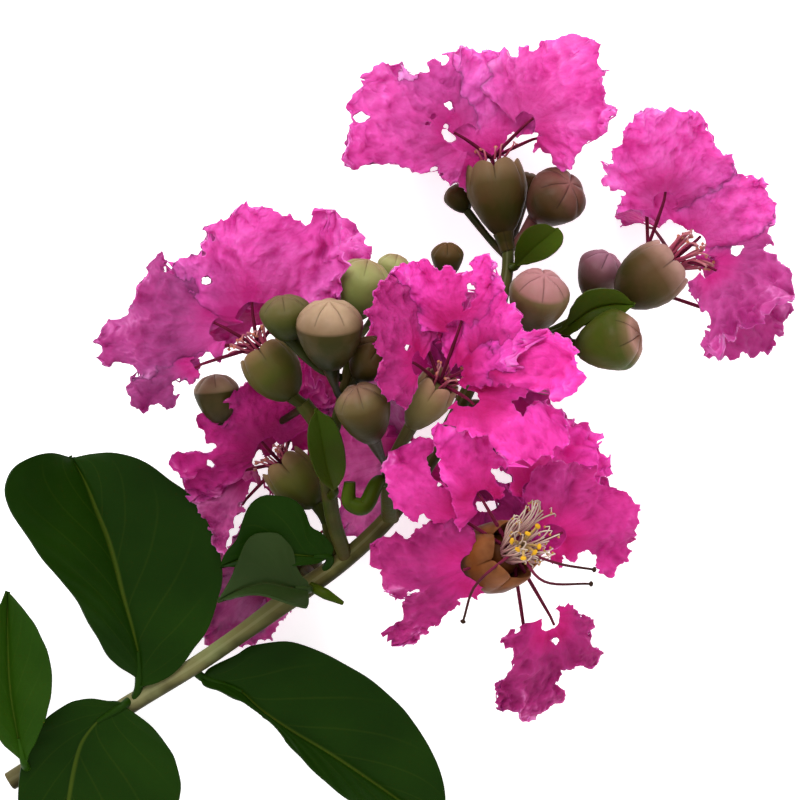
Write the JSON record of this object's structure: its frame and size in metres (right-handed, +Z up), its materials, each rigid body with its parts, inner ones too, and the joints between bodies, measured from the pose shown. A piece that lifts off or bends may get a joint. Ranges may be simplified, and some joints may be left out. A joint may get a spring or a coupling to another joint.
{
  "type": "flowering crape myrtle shoot",
  "caption": "Leafy stem ending in a panicle of ruffled pink blooms and round ribbed buds, cut and lying on its side",
  "frame": {"origin": "on the table, under the middle of the bounding box", "axes": "+X to the right of the picture, +Y to its top, +Z up from the table towards the camera, which looks straight down"},
  "size_m": [0.115, 0.121, 0.0528],
  "materials": {
    "bark": "green-tan young bark, faintly four-ridged, satin",
    "bud": "olive to rose waxy skin, satin",
    "calyx": "olive waxy skin, satin",
    "stamen": "pale threads with powdery gold tips",
    "leaf": "dark green leathery blade, satin",
    "bract": "fresh green, satin",
    "petal": "crinkled thin petal, matte and translucent"
  },
  "bodies": {
    "root": {"main_stem": "bark", "branch_left": "bark", "branch_upper_left": "bark", "branch_middle": "bark", "branch_front": "bark", "branch_right": "bark", "branch_under_left": "bark", "bud_top": "bud", "bud_top_back": "bud", "bud_top_left": "bud", "bud_rose": "bud", "bud_small_up": "bud", "bud_green": "bud", "bud_green_small": "bud", "bud_left": "bud", "bud_tan": "bud", "bud_tan_back": "bud", "bud_far_left": "bud", "bud_pear": "bud", "bud_right": "bud", "bud_right_back": "bud", "bud_dark": "bud", "calyx_top": "calyx", "calyx_right": "calyx", "calyx_left": "calyx", "calyx_lower_left": "calyx", "calyx_centre": "calyx", "calyx_front": "calyx", "calyx_under_left": "calyx", "calyx_under_middle": "calyx", "stamens_front": "stamen", "leaf_left": "leaf", "leaf_lower_left": "leaf", "leaf_far_left": "leaf", "leaf_lower_right": "leaf", "leaf_behind_stem": "leaf", "leaf_curled": "leaf", "bract_left": "bract", "bract_right": "bract", "bract_top": "bract", "bract_hook": "bract", "bract_node": "bract", "petals_top": "petal", "petals_right": "petal", "petals_left": "petal", "petals_lower_left": "petal", "petals_centre": "petal", "petals_front": "petal", "petals_under_left": "petal", "petals_under_middle": "petal"}
  },
  "joints": []
}
